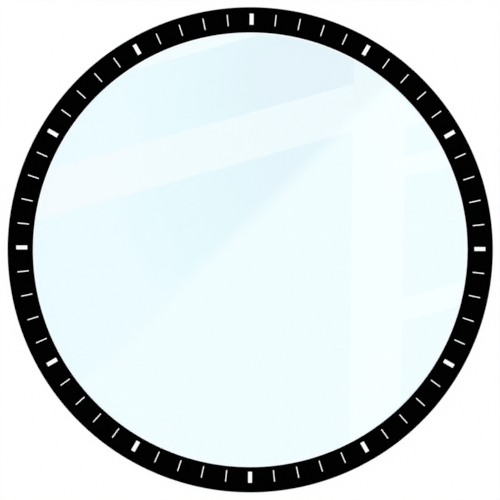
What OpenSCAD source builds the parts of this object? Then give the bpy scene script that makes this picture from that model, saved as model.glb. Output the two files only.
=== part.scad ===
// Screen protector for a round smartwatch. A tempered glass disc carries a
// black printed border with a white minute scale on its back. Film and two
// adhesive layers back it, and a release liner keeps the adhesive covered.
// It lies face up on its liner, with 12 o'clock towards +Y, in millimetres.

/* [Cover glass] */
// Diameter of the cover glass
glass_d = 39.5; // [34:0.1:46]
// Thickness of the cover glass
glass_t = 0.33; // [0.28:0.01:0.6]
// Width of the rounded front edge, seen from the front
edge_w = 0.6; // [0.3:0.05:1.2]
// Fall of the rounded front edge, from the flat face to the rim's wall
edge_drop = 0.15; // [0.1:0.01:0.2]
// Chamfer round the back of the rim
back_chamfer = 0.03; // [0.02:0.01:0.1]

/* [Printed border] */
// Width of the black border, from its outer edge to the clear window
border_w = 2.05; // [1.8:0.01:4]
// Thickness of the white marks and of the first black coat round them
scale_coat_t = 0.015; // [0.01:0.001:0.04]
// Thickness of the second black coat, which covers the marks from behind
cover_coat_t = 0.015; // [0.01:0.001:0.04]

/* [Minute scale] */
// Black margin between the border's outer edge and the ends of the marks
scale_margin = 0.66; // [0.2:0.01:0.8]
// Length of an hour mark
hour_mark_l = 0.89; // [0.5:0.01:1.1]
// Width of an hour mark
hour_mark_w = 0.315; // [0.2:0.005:0.8]
// Length of a minute mark
minute_mark_l = 0.92; // [0.4:0.01:1.1]
// Width of a minute mark
minute_mark_w = 0.075; // [0.05:0.005:0.4]
// How far the scale is printed off centre, towards 3 o'clock
scale_shift_x = 0.05; // [-0.15:0.01:0.15]
// How far the scale is printed off centre, towards 12 o'clock
scale_shift_y = 0.13; // [-0.15:0.01:0.15]
// How far the scale is printed turned, clockwise from the front, in degrees
scale_turn = 0.2; // [-1:0.1:1]

/* [Backing] */
// Thickness of the adhesive between the ink and the film
bond_t = 0.05; // [0.02:0.005:0.1]
// Thickness of the anti-shatter film
film_t = 0.1; // [0.05:0.005:0.2]
// Thickness of the silicone adhesive that grips the watch
grip_t = 0.08; // [0.03:0.005:0.15]
// How far the film and adhesives stay inside the glass's rim
backing_inset = 0.15; // [0.05:0.01:0.5]

/* [Release liner] */
// Thickness of the release liner
liner_t = 0.05; // [0.03:0.005:0.2]
// How far the liner stays inside the glass's rim
liner_inset = 0.05; // [0:0.01:0.14]

/* [Hidden] */
$fn = 180;

// Minutes round the scale, and minutes from one hour mark to the next
minutes = 60;
hour_step = 5;

// Radii of the pieces, outermost first
glass_r = glass_d / 2;
liner_r = glass_r - liner_inset;
border_r = glass_r - back_chamfer;
backing_r = glass_r - backing_inset;
window_r = border_r - border_w;
scale_r = border_r - scale_margin;

// The front edge's arc leaves the flat face level and drops edge_drop over edge_w
edge_r = (edge_w * edge_w + edge_drop * edge_drop) / (2 * edge_drop);

// Heights of the layers' lower faces, from the liner up
grip_z = liner_t;
film_z = grip_z + grip_t;
bond_z = film_z + film_t;
cover_coat_z = bond_z + bond_t;
scale_coat_z = cover_coat_z + cover_coat_t;
glass_z = scale_coat_z + scale_coat_t;

// Makes a flat layer of its children's outline, t thick, with its lower face at z
module layer(z, t) {
    translate([0, 0, z]) linear_extrude(t) children();
}

// Section of the glass from its centre to its rim, before the front edge is rounded
module square_edged_section() {
    polygon([[0, 0],
             [glass_r - back_chamfer, 0],
             [glass_r, back_chamfer],
             [glass_r, glass_t],
             [0, glass_t]]);
}

// Corner that the rounded front edge takes off the glass's section
module edge_corner() {
    translate([glass_r - edge_w, glass_t]) difference() {
        translate([0, -edge_drop]) square([edge_w, edge_drop]);
        translate([0, -edge_r]) circle(r = edge_r);
    }
}

// Outline of the border, open at the window
module border_outline() {
    difference() {
        circle(r = border_r);
        circle(r = window_r);
    }
}

// Outline of one mark, on the printed scale at the given minute
module mark_outline(minute, w, l) {
    translate([scale_shift_x, scale_shift_y])
        rotate(-scale_turn - minute * 360 / minutes)
            translate([-w / 2, scale_r - l]) square([w, l]);
}

module hour_outlines() {
    for (minute = [0 : hour_step : minutes - 1])
        mark_outline(minute, hour_mark_w, hour_mark_l);
}

module minute_outlines() {
    for (minute = [0 : minutes - 1])
        if (minute % hour_step != 0)
            mark_outline(minute, minute_mark_w, minute_mark_l);
}

// Tempered glass with a rounded front edge
module cover_glass() {
    color([0.88, 0.97, 1, 0.4]) translate([0, 0, glass_z]) rotate_extrude() difference() {
        square_edged_section();
        edge_corner();
    }
}

// White bars printed on the back of the glass at the hours
module hour_marks() {
    color([1, 1, 1]) layer(scale_coat_z, scale_coat_t) hour_outlines();
}

// White lines printed on the back of the glass at the other minutes
module minute_marks() {
    color([1, 1, 1]) layer(scale_coat_z, scale_coat_t) minute_outlines();
}

// First black coat, which surrounds the marks at their own height
module border_print() {
    color([0.01, 0.01, 0.01]) layer(scale_coat_z, scale_coat_t) difference() {
        border_outline();
        hour_outlines();
        minute_outlines();
    }
}

// Second black coat, plain, behind the marks
module border_backing() {
    color([0.02, 0.02, 0.02]) layer(cover_coat_z, cover_coat_t) border_outline();
}

// Clear adhesive under the ink, which also fills the window up to the glass
module bonding_adhesive() {
    color([0.9, 0.98, 1, 0.3]) union() {
        layer(bond_z, bond_t) circle(r = backing_r);
        layer(bond_z, glass_z - bond_z) circle(r = window_r);
    }
}

// Film that holds the splinters together if the glass breaks
module shatter_film() {
    color([0.84, 0.96, 1, 0.35]) layer(film_z, film_t) circle(r = backing_r);
}

// Soft silicone layer that sticks to the watch and lets go cleanly
module grip_adhesive() {
    color([0.93, 0.98, 1, 0.3]) layer(grip_z, grip_t) circle(r = backing_r);
}

// Clear liner, wider than the adhesive so that a nail can catch it
module release_liner() {
    color([0.8, 0.92, 0.97, 0.35]) layer(0, liner_t) circle(r = liner_r);
}

cover_glass();
hour_marks();
minute_marks();
border_print();
border_backing();
bonding_adhesive();
shatter_film();
grip_adhesive();
release_liner();
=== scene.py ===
"""Dresses the laminated glass protector of a round smartwatch and sets up its studio."""

import math

import bmesh
import bpy
from bpy.props import FloatProperty, FloatVectorProperty, IntProperty, PointerProperty
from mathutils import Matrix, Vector
from mathutils.geometry import delaunay_2d_cdt


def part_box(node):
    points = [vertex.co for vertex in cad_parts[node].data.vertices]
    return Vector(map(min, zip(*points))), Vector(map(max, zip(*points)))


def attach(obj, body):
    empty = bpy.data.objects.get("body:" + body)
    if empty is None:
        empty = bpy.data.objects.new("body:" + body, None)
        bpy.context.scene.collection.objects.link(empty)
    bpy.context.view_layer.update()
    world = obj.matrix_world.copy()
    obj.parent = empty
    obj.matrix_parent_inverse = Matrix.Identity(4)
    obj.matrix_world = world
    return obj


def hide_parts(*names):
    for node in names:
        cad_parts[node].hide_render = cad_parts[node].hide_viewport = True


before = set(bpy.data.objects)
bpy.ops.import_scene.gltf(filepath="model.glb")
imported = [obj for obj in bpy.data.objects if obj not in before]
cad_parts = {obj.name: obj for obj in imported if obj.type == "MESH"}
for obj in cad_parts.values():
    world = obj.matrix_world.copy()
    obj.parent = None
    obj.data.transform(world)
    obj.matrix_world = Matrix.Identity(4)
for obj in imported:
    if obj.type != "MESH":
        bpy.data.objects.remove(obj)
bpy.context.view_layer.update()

bl_info = {
    "name": "Watch Screen Protector",
    "version": (1, 0, 0),
    "blender": (4, 5, 0),
    "location": "View3D > Sidebar > Protector",
    "description": "Builds the sheets, inks and finishes of a round glass screen protector",
    "category": "Object",
}

MM = 0.001
BODY = "protector"
LINER_BODY = "liner"
# Points of a CAD mesh that lie closer together than this count as one place
SAME_PLACE = 0.001 * MM
# Width of the flat band between an adhesive's edge and the rest of its face
FACE_BAND = 0.16 * MM
# Bends sharper than this stay sharp
SHARP_BEND = math.radians(32)

# Outlines in the window's mirror image of the studio, in millimetres from the window's
# middle. Past its edge they only need to run clear of the border.
UPPER_SKY = ((-24.0, 2.57), (8.35, 11.58), (24.0, 16.0), (24.0, 24.0), (-24.0, 24.0))
LOWER_SKY = ((-24.0, 2.57), (-24.0, -24.0), (24.0, -24.0), (24.0, 16.0), (8.35, 11.58))
CORNER_PANE = ((-12.0, 13.95), (0.39, 17.38), (0.39, 20.0), (-12.0, 20.0))
SLANTED_BAR = ((-20.0, 1.67), (6.61, 9.17), (8.46, 9.69), (8.46, 13.53), (-20.0, 5.53))
RIGHT_SASH = ((8.0, -20.0), (20.0, -20.0), (20.0, 20.0), (8.5, 20.0))
LIT_SHEET = ((-20.0, -20.0), (20.0, -20.0), (20.0, 20.0), (-20.0, 20.0))
LIT_BARS = (
    ((8.0, -20.0), (12.11, -20.0), (12.68, 20.0), (8.5, 20.0)),
    ((5.50, 8.86), (8.46, 9.69), (8.46, 13.53), (5.50, 12.70)),
    ((12.42, 9.98), (20.0, 11.92), (20.0, 20.0), (12.42, 20.0)),
    ((12.42, 6.03), (20.0, 7.52), (20.0, 9.60), (12.42, 7.47)),
    ((12.25, -5.79), (20.0, -3.70), (20.0, -1.89), (12.25, -4.01)),
)
# The lit sheet starts along a soft slanted line: a point on it, its way across, and how far
# across it the light starts and is full
LIT_LINE = (6.65, 9.17)
LIT_WAY = (0.692, -0.722)
LIT_SOFT = (-0.6, 1.1)
# A card with three colours fades from the first to the last as a point nears a centre: the
# centre, and the three distances from it
UPPER_FADE = ((6.5, 13.8), (17.5, 10.2, 5.3))
LOWER_FADE = ((4.05, 6.9), (16.2, 11.4, 2.4))
BAR_FADE = ((8.5, 11.0), (20.0, 15.4, 2.5))


def heights(node):
    """Lowest and highest height of a CAD node."""
    low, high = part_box(node)
    return low.z, high.z


def section(node):
    """Radius and height of each vertex of a CAD node that is round about Z."""
    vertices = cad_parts[node].data.vertices
    return [(math.hypot(v.co.x, v.co.y), v.co.z) for v in vertices]


def outer_radius(node):
    return max(radius for radius, height in section(node))


def inner_radius(node):
    return min(radius for radius, height in section(node))


class ProtectorSizes(bpy.types.PropertyGroup):
    """Sizes that the frame doesn't give."""

    seam: FloatProperty(
        name="Seam",
        description="Gap that keeps the faces of two touching sheets apart",
        default=0.001 * MM, min=0.0, unit="LENGTH", precision=6)
    facets: IntProperty(
        name="Facets",
        description="Flat facets round each turned piece",
        default=360, min=64, max=720)
    rim_round: FloatProperty(
        name="Rim rounding",
        description="Radius of the polished corner between the rim's wall and the front edge",
        default=0.03 * MM, min=0.0, unit="LENGTH", precision=6)
    coat_short: FloatProperty(
        name="Second coat setback",
        description="How far the second black coat stops short of the first one's edges",
        default=0.02 * MM, min=0.0, unit="LENGTH", precision=6)
    ink_creep: FloatProperty(
        name="Ink creep",
        description="How far the first black coat creeps into the window while it is wet",
        default=0.008 * MM, min=0.0, unit="LENGTH", precision=6)
    air_line: FloatProperty(
        name="Air line width",
        description="Width of the bright line in the adhesive beside the ink",
        default=0.16 * MM, min=0.0, unit="LENGTH", precision=6)
    air_fade: FloatProperty(
        name="Air line fade",
        description="Width of the sloping strip over which the bright line fades out",
        default=0.32 * MM, min=0.0, unit="LENGTH", precision=6)
    air_slope: FloatProperty(
        name="Air line slope",
        description="How steeply the adhesive falls towards the ink along the bright line",
        default=math.radians(5.0), min=0.0, max=math.radians(7.0), unit="ROTATION")
    air_dip: FloatProperty(
        name="Air line dip",
        description="Width over which the adhesive dips the rest of the way down to the ink",
        default=0.022 * MM, min=0.0, unit="LENGTH", precision=6)
    cut_round: FloatProperty(
        name="Cut edge rounding",
        description="Radius of the corners of the die-cut sheets",
        default=0.012 * MM, min=0.0, unit="LENGTH", precision=6)
    draw_in: FloatProperty(
        name="Adhesive draw-in",
        description="How far the edge of an adhesive is drawn in between its sheets",
        default=0.02 * MM, min=0.0, unit="LENGTH", precision=6)


class ProtectorColours(bpy.types.PropertyGroup):
    """Colours of the glass, sheets and inks."""

    glass: FloatVectorProperty(
        name="Glass",
        description="What one face of the tempered glass lets through",
        default=(0.997, 0.999, 0.999), subtype="COLOR", min=0.0, max=1.0)
    sheet: FloatVectorProperty(
        name="Sheet",
        description="What one face of a film or adhesive lets through",
        default=(0.983, 0.9975, 1.0), subtype="COLOR", min=0.0, max=1.0)
    ground_edge: FloatVectorProperty(
        name="Ground edge",
        description="Colour of the finely ground rim of the glass",
        default=(0.72, 0.88, 0.86), subtype="COLOR", min=0.0, max=1.0)
    cut_edge: FloatVectorProperty(
        name="Cut edge",
        description="Colour of the die-cut edges of the films and adhesives",
        default=(0.72, 0.88, 0.92), subtype="COLOR", min=0.0, max=1.0)
    black_ink: FloatVectorProperty(
        name="Black ink",
        description="Colour of the border's black coats",
        default=(0.0007, 0.0007, 0.0009), subtype="COLOR", min=0.0, max=1.0)
    white_ink: FloatVectorProperty(
        name="White ink",
        description="Colour of the minute scale",
        default=(0.97, 0.97, 0.97), subtype="COLOR", min=0.0, max=1.0)


class StudioSettings(bpy.types.PropertyGroup):
    """Camera, lights and the cards that the window mirrors."""

    camera_height: FloatProperty(
        name="Camera height",
        description="Height of the camera above the printed border",
        default=169.3 * MM, min=0.05, unit="LENGTH", precision=5)
    camera_x: FloatProperty(
        name="Camera offset X",
        description="How far the camera stands off centre, towards 3 o'clock",
        default=-0.018 * MM, unit="LENGTH", precision=6)
    camera_y: FloatProperty(
        name="Camera offset Y",
        description="How far the camera stands off centre, towards 12 o'clock",
        default=-0.0146 * MM, unit="LENGTH", precision=6)
    lens: FloatProperty(
        name="Lens",
        description="Focal length of the camera in millimetres",
        default=150.0, min=20.0)
    room_light: FloatProperty(
        name="Room light",
        description="Strength of the even light from all round",
        default=0.68, min=0.0)
    lamp_light: FloatProperty(
        name="Lamp light",
        description="Share of a full white that the lamps add on the floor, together",
        default=0.37, min=0.0)
    floor_glow: FloatProperty(
        name="Floor glow",
        description="How much of the floor's white the camera sees without any shadow",
        default=0.95, min=0.0, max=1.0)
    card_height: FloatProperty(
        name="Card height",
        description="Height of the mirrored cards above the protector",
        default=0.40, min=0.25, unit="LENGTH")


class Field:
    """A socket of a node tree, on which +, -, * and ** add Math nodes."""

    def __init__(self, recipe, socket):
        self.recipe = recipe
        self.socket = socket

    def __add__(self, other):
        return self.recipe.math("ADD", self, other)

    __radd__ = __add__

    def __sub__(self, other):
        return self.recipe.math("SUBTRACT", self, other)

    def __rsub__(self, other):
        return self.recipe.math("SUBTRACT", other, self)

    def __mul__(self, other):
        return self.recipe.math("MULTIPLY", self, other)

    __rmul__ = __mul__

    def __pow__(self, other):
        return self.recipe.math("POWER", self, other)


class Recipe:
    """Writes one node tree, which it empties first."""

    def __init__(self, tree):
        tree.nodes.clear()
        self.tree = tree

    def node(self, kind, sockets=None, settings=None, output=0):
        """Adds a node, sets its settings and then its sockets, and gives one of its outputs."""
        made = self.tree.nodes.new(kind)
        for name, value in (settings or {}).items():
            setattr(made, name, value)
        by_name = {socket.identifier: socket for socket in made.inputs}
        for name, value in (sockets or {}).items():
            if isinstance(value, Field):
                self.tree.links.new(value.socket, by_name[name])
            elif isinstance(value, (int, float)):
                by_name[name].default_value = value
            else:
                size = len(by_name[name].default_value)
                by_name[name].default_value = (*value, 1.0)[:size]
        if isinstance(output, str):
            output = [socket.identifier for socket in made.outputs].index(output)
        return Field(self, made.outputs[output]) if made.outputs else None

    def math(self, operation, first, second):
        sockets = {"Value": first, "Value_001": second}
        return self.node("ShaderNodeMath", sockets, {"operation": operation})

    def blend(self, share, first, second):
        """Colour between two, by a share from 0 to 1."""
        sockets = {"Factor_Float": share, "A_Color": first, "B_Color": second}
        return self.node("ShaderNodeMix", sockets, {"data_type": "RGBA"}, "Result_Color")

    def ramp(self, value, start, end, curve="SMOOTHSTEP"):
        """0 before the start, 1 past the end."""
        sockets = {"Value": value, "From Min": start, "From Max": end}
        settings = {"interpolation_type": curve}
        return self.node("ShaderNodeMapRange", sockets, settings, "Result")

    def place(self):
        """The point being shaded, in metres from the piece's origin."""
        return self.node("ShaderNodeTexCoord", output="Object")

    def axis(self, name):
        return self.node("ShaderNodeSeparateXYZ", {"Vector": self.place()}, output=name)

    def grain(self, size, detail=2.0, stretch=(1.0, 1.0, 1.0)):
        """Noise from 0 to 1 with patches of about the given size in metres."""
        scaled = self.node(
            "ShaderNodeVectorMath",
            {"Vector": self.place(), "Vector_001": tuple(1.0 / (size * k) for k in stretch)},
            {"operation": "MULTIPLY"})
        sockets = {"Vector": scaled, "Scale": 1.0, "Detail": detail}
        return self.node("ShaderNodeTexNoise", sockets, output="Fac")

    def bump(self, height, depth):
        """Normal of a surface that rises by depth, in metres, where height is 1."""
        sockets = {"Height": height, "Distance": depth, "Strength": 1.0}
        return self.node("ShaderNodeBump", sockets)

    def clear(self, tint):
        return self.node("ShaderNodeBsdfTransparent", {"Color": tint})

    def mix(self, share, first, second):
        """Shader between two, by a share from 0 to 1."""
        sockets = {"Fac": share, "Shader": first, "Shader_001": second}
        return self.node("ShaderNodeMixShader", sockets)

    def pane(self, tint, mirror, slant_mirror, roughness):
        """See-through face that mirrors by one share straight on and by another at a slant."""
        steepness = 5.0
        slant = self.node("ShaderNodeLayerWeight", {"Blend": 0.5}, output="Facing") ** steepness
        share = mirror + (slant_mirror - mirror) * slant
        sockets = {"Color": (1.0, 1.0, 1.0), "Roughness": roughness}
        gloss = self.node("ShaderNodeBsdfAnisotropic", sockets)
        return self.mix(share, self.clear(tint), gloss)

    def surface(self, shader):
        self.node("ShaderNodeOutputMaterial", {"Surface": shader})


def new_finish(name):
    """A new material and the recipe that fills it."""
    material = bpy.data.materials.new(name)
    material.use_nodes = True
    return material, Recipe(material.node_tree)


def coated_glass(colours):
    """Polished glass under an oil-repellent coat that mirrors at a slant only, faintly smeared."""
    material, recipe = new_finish("coated_glass")
    smear = recipe.grain(3.0 * MM, detail=4.0, stretch=(1.0, 3.0, 1.0))
    recipe.surface(recipe.pane(colours.glass, mirror=0.0, slant_mirror=0.8,
                               roughness=0.015 + 0.03 * smear))
    return material


def bonded_glass(colours):
    """The back of the glass, where ink or adhesive wets it and nothing mirrors."""
    material, recipe = new_finish("bonded_glass")
    recipe.surface(recipe.clear(colours.glass))
    return material


def ground_glass(colours):
    """The rim's wall and chamfer, finely ground with streaks that run round the rim."""
    material, recipe = new_finish("ground_glass")
    streak = recipe.grain(1.2 * MM, detail=3.0, stretch=(1.0, 1.0, 0.006))
    darker = [0.85 * c for c in colours.ground_edge]
    sockets = {
        "Base Color": recipe.blend(streak, darker, colours.ground_edge),
        "Roughness": 0.2 + 0.3 * streak,
        "Normal": recipe.bump(streak, depth=0.002 * MM),
    }
    frosted = recipe.node("ShaderNodeBsdfPrincipled", sockets)
    frost = 0.08 + 0.14 * streak
    recipe.surface(recipe.mix(frost, recipe.clear(colours.glass), frosted))
    return material


def printed_ink(name, colour, spread):
    """Screen-printed ink: the screen's threads leave a fine weave in it, and its tone drifts."""
    material, recipe = new_finish(name)
    drift = recipe.grain(0.8 * MM, detail=3.0)
    # The wave texture repeats about three times over this length
    three_threads = 0.36 * MM
    threads = [
        recipe.node("ShaderNodeTexWave",
                    {"Vector": recipe.place(), "Scale": 1.0 / three_threads},
                    {"bands_direction": direction, "wave_type": "BANDS"}, "Fac")
        for direction in ("X", "Y")
    ]
    weave = threads[0] * threads[1]
    darker = [c * (1.0 - spread) for c in colour]
    sockets = {
        "Base Color": recipe.blend(drift, darker, colour),
        "Roughness": 0.45 + 0.2 * weave,
        "Specular IOR Level": 0.0,
        "Normal": recipe.bump(weave, depth=0.001 * MM),
    }
    recipe.surface(recipe.node("ShaderNodeBsdfPrincipled", sockets))
    return material


def wetted_sheet(name, tint):
    """Adhesive that wets the sheets on both sides of it, with the faintest uneven haze."""
    material, recipe = new_finish(name)
    haze = recipe.grain(2.5 * MM, detail=3.0)
    milky = recipe.node("ShaderNodeBsdfPrincipled", {
        "Base Color": (0.93, 0.97, 0.98), "Roughness": 0.6, "Specular IOR Level": 0.0})
    milkiness = 0.004 * haze
    recipe.surface(recipe.mix(milkiness, recipe.clear(tint), milky))
    return material


def glossy_sheet(name, tint, mirror, line_size):
    """Clear sheet with faint lines along it, left by its making, that mirror a little less."""
    material, recipe = new_finish(name)
    line = recipe.grain(line_size, detail=3.0, stretch=(8.0, 1.0, 1.0))
    recipe.surface(recipe.pane(tint, mirror=mirror * (1.04 - 0.08 * line), slant_mirror=0.5,
                               roughness=0.0))
    return material


def cut_edge(name, colour, tint):
    """The edge of a sheet, which the die left slightly rough and white."""
    material, recipe = new_finish(name)
    nick = recipe.grain(0.15 * MM, detail=3.0, stretch=(1.0, 1.0, 0.2))
    darker = [0.9 * c for c in colour]
    sockets = {
        "Base Color": recipe.blend(nick, darker, colour),
        "Roughness": 0.3 + 0.2 * nick,
        "Normal": recipe.bump(nick, depth=0.002 * MM),
    }
    frosted = recipe.node("ShaderNodeBsdfPrincipled", sockets)
    frost = 0.35 + 0.3 * nick
    recipe.surface(recipe.mix(frost, recipe.clear(tint), frosted))
    return material


def air_line(colours, sizes, window):
    """The adhesive beside the ink, where a film of trapped air mirrors the room as a bright
    line that fades towards the middle of the window."""
    material, recipe = new_finish("air_line")
    fleck = recipe.grain(0.25 * MM, detail=2.0)
    silvery = recipe.node("ShaderNodeBsdfAnisotropic", {
        "Color": (1.0, 0.995, 0.985), "Roughness": 0.05 + 0.1 * fleck})
    radius = recipe.node("ShaderNodeVectorMath", {"Vector": recipe.place()},
                         {"operation": "LENGTH"}, "Value")
    faint = recipe.ramp(radius, window - sizes.air_fade, window - sizes.air_line)
    dense = recipe.ramp(radius, window - sizes.air_line, window - 0.2 * sizes.air_line)
    share = 0.12 * faint + (0.5 + 0.1 * fleck) * dense
    recipe.surface(recipe.mix(share, recipe.clear(colours.sheet), silvery))
    return material


def new_piece(name, mesh, slot, body, *nodes):
    """Puts a finished mesh in the scene, on its body and in place of its CAD nodes."""
    piece = bpy.data.objects.new(name, mesh)
    bpy.context.scene.collection.objects.link(piece)
    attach(piece, body)
    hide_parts(*nodes)
    return piece


def finish_mesh(builder, name, finishes):
    """Turns the built shape into a mesh with smooth bends and sharp corners."""
    bmesh.ops.recalc_face_normals(builder, faces=builder.faces)
    mesh = bpy.data.meshes.new(name)
    builder.to_mesh(mesh)
    builder.free()
    for finish in finishes:
        mesh.materials.append(finish)
    mesh.shade_smooth()
    mesh.set_sharp_from_angle(angle=SHARP_BEND)
    return mesh


def circle(radius, facets):
    """Corners of a flat many-sided circle about Z."""
    return [Vector((radius * math.cos(k * math.tau / facets),
                    radius * math.sin(k * math.tau / facets))) for k in range(facets)]


def turned(name, points, facets):
    """Turns a section about Z. Each point is (radius, height, finish), and the finish is that
    of the band that ends there. A section that ends where it starts is a ring, and any other
    is a disc, closed by a flat face at each end."""
    finishes = []
    for radius, height, finish in points:
        if finish not in finishes:
            finishes.append(finish)
    closed = points[0][:2] == points[-1][:2]
    builder = bmesh.new()
    rings = [[builder.verts.new((*corner, height)) for corner in circle(radius, facets)]
             for radius, height, finish in (points[:-1] if closed else points)]
    if closed:
        rings.append(rings[0])
    for (radius, height, finish), below, above in zip(points[1:], rings, rings[1:]):
        for k in range(facets):
            corners = (below[k - 1], below[k], above[k], above[k - 1])
            builder.faces.new(corners).material_index = finishes.index(finish)
    if not closed:
        builder.faces.new(reversed(rings[0])).material_index = finishes.index(points[0][2])
        builder.faces.new(rings[-1]).material_index = finishes.index(points[-1][2])
    return finish_mesh(builder, name, finishes)


def rounded(corner, before, after, radius, steps, finish):
    """Section points that round a corner between the ways to it and from it."""
    points = []
    into = (Vector(before) - Vector(corner)).normalized()
    out = (Vector(after) - Vector(corner)).normalized()
    half = into.angle(out) / 2.0
    reach = radius / math.tan(half)
    centre = Vector(corner) + (into + out).normalized() * radius / math.sin(half)
    start = Vector(corner) + into * reach - centre
    end = Vector(corner) + out * reach - centre
    sweep = start.angle(end)
    for step in range(steps + 1):
        share = step / steps
        arm = (start * math.sin((1.0 - share) * sweep) + end * math.sin(share * sweep))
        points.append((*(centre + arm / math.sin(sweep)), finish))
    return points


def sheet_section(radius, low, high, face, edge, sizes):
    """Section of a die-cut sheet: flat faces and an edge with small round corners."""
    face_edge = radius - 4.0 * sizes.cut_round
    points = [(face_edge, low, face)]
    for corner, before, after in (((radius, low), (0.0, low), (radius, high)),
                                  ((radius, high), (radius, low), (0.0, high))):
        points += rounded(corner, before, after, sizes.cut_round, steps=3, finish=edge)
    points.append((face_edge, high, face))
    return points


def adhesive_edge(radius, low, high, edge, sizes):
    """Section points of an adhesive's edge, drawn in between the sheets that it joins."""
    steps = 6
    points = []
    for step in range(steps + 1):
        share = step / steps
        inward = sizes.draw_in * math.sin(math.pi * share)
        points.append((radius - inward, low + (high - low) * share, edge))
    return points


def mark_outlines(node):
    """Corners of each separate bar of a CAD node, in order round the bar."""
    builder = bmesh.new()
    builder.from_mesh(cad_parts[node].data)
    bmesh.ops.remove_doubles(builder, verts=builder.verts, dist=0.1 * SAME_PLACE)
    middle_height = sum(heights(node)) / 2.0
    outlines = []
    unseen = set(builder.verts)
    while unseen:
        bar, frontier = set(), [unseen.pop()]
        while frontier:
            vertex = frontier.pop()
            bar.add(vertex)
            near = {edge.other_vert(vertex) for edge in vertex.link_edges} & unseen
            unseen -= near
            frontier += near
        corners = [v.co.xy for v in bar if v.co.z < middle_height]
        centre = sum(corners, Vector((0.0, 0.0))) / len(corners)
        corners.sort(key=lambda c: math.atan2(c.y - centre.y, c.x - centre.x))
        outlines.append([corner.copy() for corner in corners])
    builder.free()
    return sorted(outlines, key=lambda outline: math.atan2(outline[0].y, outline[0].x))


def pierced_ring(name, outer, inner, windows, low, high, facets, finish):
    """Flat ring from height low to high, open at each window's outline."""
    corners, edges, owners = [], [], []
    outlines = [circle(outer, facets), circle(inner, facets), *windows]
    for owner, outline in enumerate(outlines):
        first = len(corners)
        corners += [corner / MM for corner in outline]
        owners += [owner] * len(outline)
        edges += [(first + k, first + (k + 1) % len(outline)) for k in range(len(outline))]
    tolerance = 1e-7
    flat, _, triangles, origins, *_ = delaunay_2d_cdt(corners, edges, [], 0, tolerance)
    builder = bmesh.new()
    lower, upper = [
        [builder.verts.new((corner.x * MM, corner.y * MM, height)) for corner in flat]
        for height in (low, high)]
    for triangle in triangles:
        # A triangle that touches one outline only lies in its opening, unless that's the outer
        touched = {owners[origins[corner][0]] for corner in triangle}
        if len(touched) > 1 or touched == {0}:
            for face in (lower, upper):
                builder.faces.new([face[corner] for corner in triangle])
    placed = {origin[0]: corner for corner, origin in enumerate(origins)}
    for edge in edges:
        start, end = (placed[corner] for corner in edge)
        builder.faces.new((lower[start], lower[end], upper[end], upper[start]))
    return finish_mesh(builder, name, [finish])


class PROTECTOR_OT_cover_glass(bpy.types.Operator):
    """Turns the tempered glass with its rounded front edge, ground rim and chamfered back."""

    bl_idname = "protector.cover_glass"
    bl_label = "Cover glass"

    def execute(self, context):
        sizes = context.scene.protector_sizes
        colours = context.scene.protector_colours
        coated, bonded, ground = (
            coated_glass(colours), bonded_glass(colours), ground_glass(colours))
        low, high = heights("cover_glass")
        low += sizes.seam
        radius = outer_radius("cover_glass")
        outline = section("cover_glass")
        wall = [z for r, z in outline if r > radius - SAME_PLACE]
        back_r = max(r for r, z in outline if z < low + SAME_PLACE)
        flat_r = max(r for r, z in outline if z > high - SAME_PLACE)
        edge_w, edge_drop = radius - flat_r, high - max(wall)
        arc_r = (edge_w ** 2 + edge_drop ** 2) / (2.0 * edge_drop)
        full_angle = math.asin(edge_w / arc_r)
        face_band = 0.1 * MM
        points = [(back_r - face_band, low, bonded), (back_r, low, bonded),
                  (radius, min(wall), ground)]
        # The front edge's arc stops short of the wall, where a small rounding takes over
        steps = 24
        arc = [(flat_r + arc_r * math.sin(full_angle * k / steps),
                high - arc_r * (1.0 - math.cos(full_angle * k / steps)), coated)
               for k in range(steps - 1)]
        corner = rounded((radius, max(wall)), (radius, min(wall)), arc[-1][:2],
                         sizes.rim_round, steps=6, finish=coated)
        wall_end = (*corner[0][:2], ground)
        points += [wall_end, *corner[1:]]
        points += reversed(arc)
        points.append((flat_r - face_band, high, coated))
        mesh = turned("polished_glass", points, sizes.facets)
        new_piece("polished_glass", mesh, "tempered_glass", BODY, "cover_glass")
        return {"FINISHED"}


class PROTECTOR_OT_printed_border(bpy.types.Operator):
    """Prints the two black coats and the white minute scale on the back of the glass."""

    bl_idname = "protector.printed_border"
    bl_label = "Printed border"

    def execute(self, context):
        sizes = context.scene.protector_sizes
        colours = context.scene.protector_colours
        black = printed_ink("black_ink", colours.black_ink, spread=0.5)
        white = printed_ink("white_ink", colours.white_ink, spread=0.02)
        outer = outer_radius("border_print")
        inner = inner_radius("border_print") - sizes.ink_creep
        low, high = heights("border_print")
        windows = mark_outlines("hour_marks") + mark_outlines("minute_marks")
        mesh = pierced_ring("first_black_coat", outer, inner, windows, low, high,
                            sizes.facets, black)
        new_piece("first_black_coat", mesh, "black_ink", BODY, "border_print")
        low, high = heights("border_backing")
        outer, inner = outer - sizes.coat_short, inner + sizes.coat_short
        high -= sizes.seam
        soft = (high - low) / 2.0
        points = [(inner + soft, low, black), (outer - soft, low, black)]
        points += rounded((outer, low), (inner, low), (outer, high), soft, steps=4,
                          finish=black)
        points += [(outer, high, black), (inner, high, black)]
        points += rounded((inner, low), (inner, high), (outer, low), soft, steps=4,
                          finish=black)
        points.append(points[0])
        mesh = turned("second_black_coat", points, sizes.facets)
        new_piece("second_black_coat", mesh, "black_ink", BODY, "border_backing")
        for name in ("hour_marks", "minute_marks"):
            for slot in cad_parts[name].material_slots:
                slot.material = white
        return {"FINISHED"}


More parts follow.
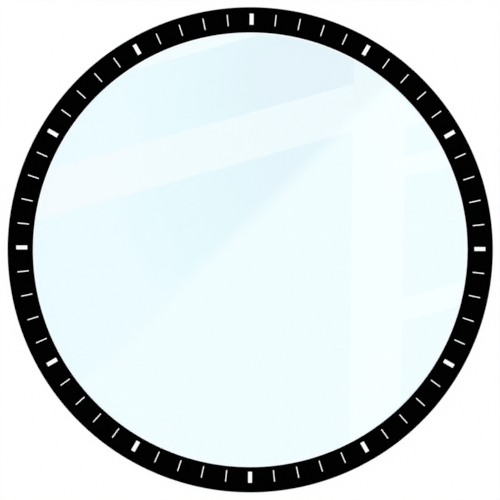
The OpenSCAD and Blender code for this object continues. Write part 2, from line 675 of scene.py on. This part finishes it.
class PROTECTOR_OT_bonding_adhesive(bpy.types.Operator):
    """Turns the adhesive that fills the window and dips down beside the ink."""

    bl_idname = "protector.bonding_adhesive"
    bl_label = "Bonding adhesive"

    def execute(self, context):
        sizes = context.scene.protector_sizes
        colours = context.scene.protector_colours
        clear = wetted_sheet("bonding_adhesive", colours.sheet)
        edge = cut_edge("adhesive_edge", colours.cut_edge, colours.sheet)
        low, high = heights("bonding_adhesive")
        step = heights("border_backing")[0] - sizes.seam
        low += sizes.seam
        radius = outer_radius("bonding_adhesive")
        window = inner_radius("border_print") - sizes.ink_creep - sizes.seam
        bright = air_line(colours, sizes, window)
        points = [(radius - FACE_BAND, low, clear)]
        points += adhesive_edge(radius, low, step, edge, sizes)
        points += [(radius - FACE_BAND, step, clear), (window, step, clear)]
        # The upper face falls by this much on its way to the ink, and then dips to it
        fall = (sizes.air_fade - sizes.air_dip) * math.tan(sizes.air_slope)
        bends = 6
        for bend in range(1, bends + 1):
            angle = math.pi / 2.0 * bend / bends
            points.append((window - sizes.air_dip * (1.0 - math.cos(angle)),
                           step + (high - fall - step) * math.sin(angle), bright))
        points.append((window - sizes.air_fade, high, bright))
        points.append((window - 2.0 * sizes.air_fade, high, clear))
        mesh = turned("window_adhesive", points, sizes.facets)
        new_piece("window_adhesive", mesh, "clear_adhesive", BODY, "bonding_adhesive")
        return {"FINISHED"}


class PROTECTOR_OT_safety_film(bpy.types.Operator):
    """Cuts the film that holds the splinters together."""

    bl_idname = "protector.safety_film"
    bl_label = "Safety film"

    def execute(self, context):
        sizes = context.scene.protector_sizes
        colours = context.scene.protector_colours
        face = glossy_sheet("film_face", colours.sheet, mirror=0.013, line_size=0.8 * MM)
        edge = cut_edge("film_edge", colours.cut_edge, colours.sheet)
        low, high = heights("shatter_film")
        points = sheet_section(outer_radius("shatter_film"), low + sizes.seam, high, face, edge,
                               sizes)
        mesh = turned("safety_film", points, sizes.facets)
        new_piece("safety_film", mesh, "clear_film", BODY, "shatter_film")
        return {"FINISHED"}


class PROTECTOR_OT_grip_adhesive(bpy.types.Operator):
    """Turns the soft layer that sticks to the watch."""

    bl_idname = "protector.grip_adhesive"
    bl_label = "Grip adhesive"

    def execute(self, context):
        sizes = context.scene.protector_sizes
        colours = context.scene.protector_colours
        face = glossy_sheet("silicone_face", colours.sheet, mirror=0.013, line_size=1.5 * MM)
        edge = cut_edge("silicone_edge", colours.cut_edge, colours.sheet)
        low, high = heights("grip_adhesive")
        low += sizes.seam
        radius = outer_radius("grip_adhesive")
        points = [(radius - FACE_BAND, low, face)]
        points += adhesive_edge(radius, low, high, edge, sizes)
        points.append((radius - FACE_BAND, high, face))
        mesh = turned("silicone_layer", points, sizes.facets)
        new_piece("silicone_layer", mesh, "silicone_adhesive", BODY, "grip_adhesive")
        return {"FINISHED"}


class PROTECTOR_OT_release_liner(bpy.types.Operator):
    """Cuts the liner that is peeled off before use."""

    bl_idname = "protector.release_liner"
    bl_label = "Release liner"

    def execute(self, context):
        sizes = context.scene.protector_sizes
        colours = context.scene.protector_colours
        face = glossy_sheet("liner_face", colours.sheet, mirror=0.027, line_size=1.0 * MM)
        edge = cut_edge("liner_edge", colours.cut_edge, colours.sheet)
        low, high = heights("release_liner")
        points = sheet_section(outer_radius("release_liner"), low + sizes.seam, high, face,
                               edge, sizes)
        mesh = turned("liner_film", points, sizes.facets)
        new_piece("liner_film", mesh, "liner_film", LINER_BODY, "release_liner")
        return {"FINISHED"}


def seen_directly(recipe):
    """1 for rays that show a surface itself or in gloss or glass, and 0 for its light on others."""
    def ray(name):
        return recipe.node("ShaderNodeLightPath", output=name)
    both = ray("Is Camera Ray") + ray("Is Glossy Ray") + ray("Is Transmission Ray")
    return recipe.math("MINIMUM", both, 1.0)


def white_floor(studio):
    """A floor that is white to the camera, keeps shadows, and can't be seen from below."""
    floor_size, below_liner = 2.0, 0.002 * MM
    material, recipe = new_finish("white_floor")
    paint = recipe.node("ShaderNodeBsdfDiffuse", {"Color": (0.95, 0.95, 0.95)})
    glow = recipe.node("ShaderNodeEmission", {"Color": (1.0, 1.0, 1.0), "Strength": 1.0})
    top = recipe.mix(studio.floor_glow * seen_directly(recipe), paint, glow)
    behind = recipe.node("ShaderNodeNewGeometry", output="Backfacing")
    recipe.surface(recipe.mix(behind, top, recipe.clear((1.0, 1.0, 1.0))))
    builder = bmesh.new()
    bmesh.ops.create_grid(builder, x_segments=8, y_segments=8, size=floor_size / 2.0)
    floor = bpy.data.objects.new("floor", finish_mesh(builder, "floor", [material]))
    bpy.context.scene.collection.objects.link(floor)
    floor.location.z = -below_liner


def room(studio):
    """Even light from all round, in front of a plain white."""
    world = bpy.data.worlds.new("room")
    world.use_nodes = True
    recipe = Recipe(world.node_tree)
    seen = seen_directly(recipe)
    strength = seen + studio.room_light * (1.0 - seen)
    light = recipe.node("ShaderNodeBackground", {"Color": (1.0, 1.0, 1.0), "Strength": strength})
    recipe.node("ShaderNodeOutputWorld", {"Surface": light})
    bpy.context.scene.world = world


def lamps(studio):
    """Three soft lamps that stand low round the protector and share the lamp light."""
    distance, size, elevation = 0.9, 0.5, math.radians(32)
    for name, azimuth, share in (("key", 125, 0.5), ("fill", 20, 0.3), ("back", 250, 0.2)):
        lamp = bpy.data.lights.new(name, "AREA")
        lamp.shape = "DISK"
        lamp.size = size
        # Watts per square metre on a face that is square to the lamp
        level = math.pi * studio.lamp_light * share / math.sin(elevation)
        lamp.energy = level * distance ** 2 * math.pi
        holder = bpy.data.objects.new(name, lamp)
        turn = math.radians(azimuth)
        way = Vector((math.cos(turn) * math.cos(elevation),
                      math.sin(turn) * math.cos(elevation), math.sin(elevation)))
        holder.location = way * distance
        holder.rotation_euler = way.to_track_quat("Z", "Y").to_euler()
        holder.visible_glossy = False
        bpy.context.scene.collection.objects.link(holder)


def faded(recipe, colours, fade):
    """Colour that goes through the given ones as a point nears the fade's centre."""
    (x, y), distances = fade
    away = recipe.node("ShaderNodeVectorMath",
                       {"Vector": recipe.place(), "Vector_001": (x * MM, y * MM, 0.0)},
                       {"operation": "DISTANCE"}, "Value")
    colour = colours[0]
    for start, end, nearer in zip(distances, distances[1:], colours[1:]):
        share = recipe.ramp(away, start * MM, end * MM, "LINEAR")
        colour = recipe.blend(share, colour, nearer)
    return colour


def glow_card(studio, name, outlines, drop, colours, fade=None, lit_only=False):
    """A card that only gloss can see, cut so that the window mirrors the given outlines. It
    hangs lower by its drop, in metres, and covers the cards above it."""
    material, recipe = new_finish(name)
    colour = faded(recipe, colours, fade) if fade else colours[0]
    glow = recipe.node("ShaderNodeEmission", {"Color": colour})
    if lit_only:
        across = ((recipe.axis("X") - LIT_LINE[0] * MM) * LIT_WAY[0]
                  + (recipe.axis("Y") - LIT_LINE[1] * MM) * LIT_WAY[1])
        lit = recipe.ramp(across, LIT_SOFT[0] * MM, LIT_SOFT[1] * MM)
        glow = recipe.mix(lit, recipe.clear((1.0, 1.0, 1.0)), glow)
    recipe.surface(glow)
    material.cycles.emission_sampling = "NONE"
    builder = bmesh.new()
    for outline in outlines:
        builder.faces.new([builder.verts.new((x * MM, y * MM, 0.0)) for x, y in outline])
    card = bpy.data.objects.new(name, finish_mesh(builder, name, [material]))
    bpy.context.scene.collection.objects.link(card)
    height = studio.card_height - drop
    # The mirror image of the card lies behind the window, so it has to be larger by this
    spread = (studio.camera_height + height) / studio.camera_height
    mirror = heights("shatter_film")[0]
    foot = Vector((studio.camera_x, studio.camera_y, 0.0))
    card.scale = (spread, spread, 1.0)
    card.location = foot * (1.0 - spread) + Vector((0.0, 0.0, mirror + height))
    card.visible_camera = False
    card.visible_diffuse = False
    card.visible_transmission = False
    card.visible_volume_scatter = False
    card.visible_shadow = False


def cards(studio):
    """What the window mirrors: a tall window with slanted bars, partly in bright light."""
    glow_card(studio, "upper_sky_card", [UPPER_SKY], 0.0,
              ((0.74, 0.92, 1.05), (0.12, 0.72, 0.84), (0.0, 0.27, 0.60)), UPPER_FADE)
    glow_card(studio, "lower_sky_card", [LOWER_SKY], 0.0,
              ((0.74, 0.91, 1.04), (0.21, 0.80, 0.93), (0.0, 0.47, 0.70)), LOWER_FADE)
    glow_card(studio, "corner_card", [CORNER_PANE], 0.001, ((1.41, 1.05, 1.06),))
    glow_card(studio, "bar_card", [SLANTED_BAR], 0.002,
              ((1.53, 0.93, 1.03), (1.22, 0.94, 0.99), (0.98, 0.81, 0.85)), BAR_FADE)
    glow_card(studio, "sash_card", [RIGHT_SASH], 0.003, ((0.88, 0.75, 0.75),))
    glow_card(studio, "lit_card", [LIT_SHEET], 0.004, ((1.22, 1.11, 1.20),), lit_only=True)
    glow_card(studio, "lit_bar_card", LIT_BARS, 0.005, ((1.85, 1.45, 1.30),), lit_only=True)


def camera(studio):
    """Looks straight down on the printed border, with 12 o'clock up."""
    data = bpy.data.cameras.new("camera")
    data.lens = studio.lens
    data.sensor_width = 36.0
    data.clip_start, data.clip_end = 0.01, 10.0
    holder = bpy.data.objects.new("camera", data)
    border = heights("border_print")[1]
    holder.location = (studio.camera_x, studio.camera_y, border + studio.camera_height)
    bpy.context.scene.collection.objects.link(holder)
    bpy.context.scene.camera = holder


class PROTECTOR_OT_studio(bpy.types.Operator):
    """Sets the camera, the white floor, the even light and the cards that the window mirrors."""

    bl_idname = "protector.studio"
    bl_label = "Studio"

    def execute(self, context):
        studio = context.scene.protector_studio
        camera(studio)
        white_floor(studio)
        room(studio)
        lamps(studio)
        cards(studio)
        context.scene.view_settings.view_transform = "Standard"
        context.scene.cycles.transparent_max_bounces = 64
        return {"FINISHED"}


BUILDERS = (
    PROTECTOR_OT_cover_glass,
    PROTECTOR_OT_printed_border,
    PROTECTOR_OT_bonding_adhesive,
    PROTECTOR_OT_safety_film,
    PROTECTOR_OT_grip_adhesive,
    PROTECTOR_OT_release_liner,
    PROTECTOR_OT_studio,
)


class PROTECTOR_PT_build(bpy.types.Panel):
    """Lists the builders and the sizes and colours that they read."""

    bl_label = "Watch Screen Protector"
    bl_space_type = "VIEW_3D"
    bl_region_type = "UI"
    bl_category = "Protector"

    def draw(self, context):
        for group in (context.scene.protector_sizes, context.scene.protector_colours,
                      context.scene.protector_studio):
            box = self.layout.box()
            for name in group.__annotations__:
                box.prop(group, name)
        for builder in BUILDERS:
            self.layout.operator(builder.bl_idname)


CLASSES = (ProtectorSizes, ProtectorColours, StudioSettings, *BUILDERS, PROTECTOR_PT_build)


def register():
    for kind in CLASSES:
        bpy.utils.register_class(kind)
    bpy.types.Scene.protector_sizes = PointerProperty(type=ProtectorSizes)
    bpy.types.Scene.protector_colours = PointerProperty(type=ProtectorColours)
    bpy.types.Scene.protector_studio = PointerProperty(type=StudioSettings)


def unregister():
    del bpy.types.Scene.protector_sizes
    del bpy.types.Scene.protector_colours
    del bpy.types.Scene.protector_studio
    for kind in reversed(CLASSES):
        bpy.utils.unregister_class(kind)


def main():
    register()
    for builder in BUILDERS:
        getattr(bpy.ops.protector, builder.bl_idname.split(".")[1])()


if __name__ == "__main__":
    main()
